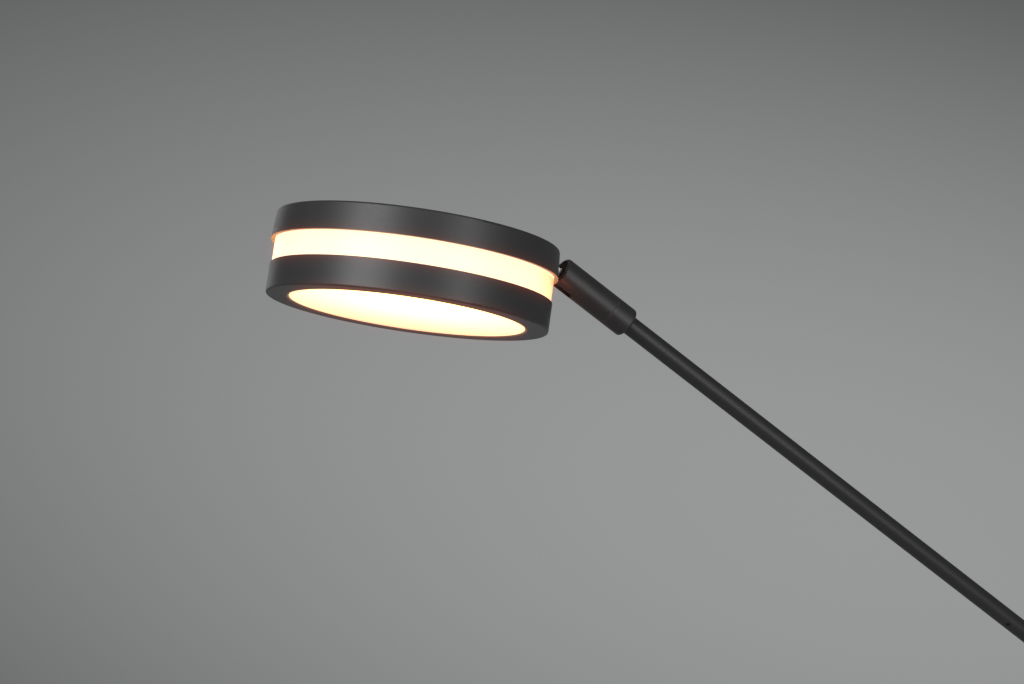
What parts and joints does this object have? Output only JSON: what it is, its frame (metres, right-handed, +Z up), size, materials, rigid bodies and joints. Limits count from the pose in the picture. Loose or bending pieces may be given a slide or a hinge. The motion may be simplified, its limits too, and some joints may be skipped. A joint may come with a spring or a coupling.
{
  "type": "floor lamp",
  "caption": "Floor lamp with a round disc head, a lit side band and a lit underside, on a jointed arm and a slim pole with a foot switch in its base.",
  "frame": {"origin": "on the floor, on the pole's axis at the middle of the base", "axes": "+Z up along the pole, the arm points along -X at rest, the hinge pins lie along Y"},
  "size_m": [0.6177, 0.24, 1.4384],
  "materials": {
    "anthracite_steel": "satin anthracite paint",
    "anthracite_aluminium": "satin anthracite coating",
    "weight_steel": "raw",
    "steel": "turned",
    "nickel": "satin nickel plating",
    "brass": "turned",
    "rubber": "matte",
    "black_plastic": "fine grain",
    "opal": "opal, lit from inside",
    "board_white": "white solder mask",
    "led_yellow": "phosphor",
    "bare_aluminium": "turned"
  },
  "bodies": {
    "stand": {"base_cover": "anthracite_steel", "pole_foot": "anthracite_steel", "lower_pole": "anthracite_steel", "upper_pole": "anthracite_steel", "elbow_collar": "anthracite_steel", "base_weight": "weight_steel", "gland_nut": "steel", "pole_nipple": "steel", "pole_washer": "steel", "pole_nut": "steel", "foot_set_screw": "steel", "pole_plug": "steel", "pole_coupler": "steel", "collar_set_screw": "steel", "elbow_stop_pin": "steel", "button_bezel": "nickel", "base_feet": "rubber", "nut_cover": "rubber", "cord_gland": "rubber", "pole_lead": "rubber", "switch_housing": "black_plastic"},
    "elbow": {"elbow_fork": "anthracite_steel", "elbow_stud": "steel", "elbow_pin": "nickel", "elbow_washers": "brass"},
    "arm": {"arm_lug": "nickel", "arm_set_screw": "steel", "arm_tube": "anthracite_steel", "arm_lead": "rubber", "head_collar": "anthracite_steel", "head_stop_pin": "steel"},
    "knuckle": {"head_fork": "anthracite_steel", "head_stud": "steel", "hinge_pin": "nickel", "hinge_washers": "brass"},
    "head": {"head_lug": "nickel", "lug_screws": "steel", "head_cap": "anthracite_aluminium", "cap_screws": "steel", "mount_plate": "bare_aluminium", "light_hub": "bare_aluminium", "hub_screws": "steel", "band_led_strip": "board_white", "band_leds": "led_yellow", "band_diffuser": "opal", "lower_ring": "anthracite_aluminium", "led_board": "board_white", "board_leds": "led_yellow", "board_screws": "steel", "led_driver": "black_plastic", "bottom_diffuser": "opal"},
    "button": {"push_button": "black_plastic"}
  },
  "joints": [
    {"name": "arm_swivel", "type": "hinge", "parent": "stand", "child": "elbow", "pos_m": [0, 0, 1.19], "axis": [0, 0, 1], "range_deg": [-165, 165]},
    {"name": "arm_tilt", "type": "hinge", "parent": "elbow", "child": "arm", "pos_m": [0, 0, 1.19], "axis": [0, 1, 0], "range_deg": [-53, 49]},
    {"name": "head_swivel", "type": "hinge", "parent": "arm", "child": "knuckle", "pos_m": [-0.33284, 0, 1.40731], "axis": [-0.8373, 0, 0.5467], "range_deg": [-165, 165]},
    {"name": "head_tilt", "type": "hinge", "parent": "knuckle", "child": "head", "pos_m": [-0.33284, 0, 1.40731], "axis": [0, 1, 0], "range_deg": [-68, 36]},
    {"name": "button_press", "type": "slide", "parent": "stand", "child": "button", "axis": [0, 0, 1], "range_m": [-0.004, 0], "stiffness_N_per_m": 1500}
  ]
}
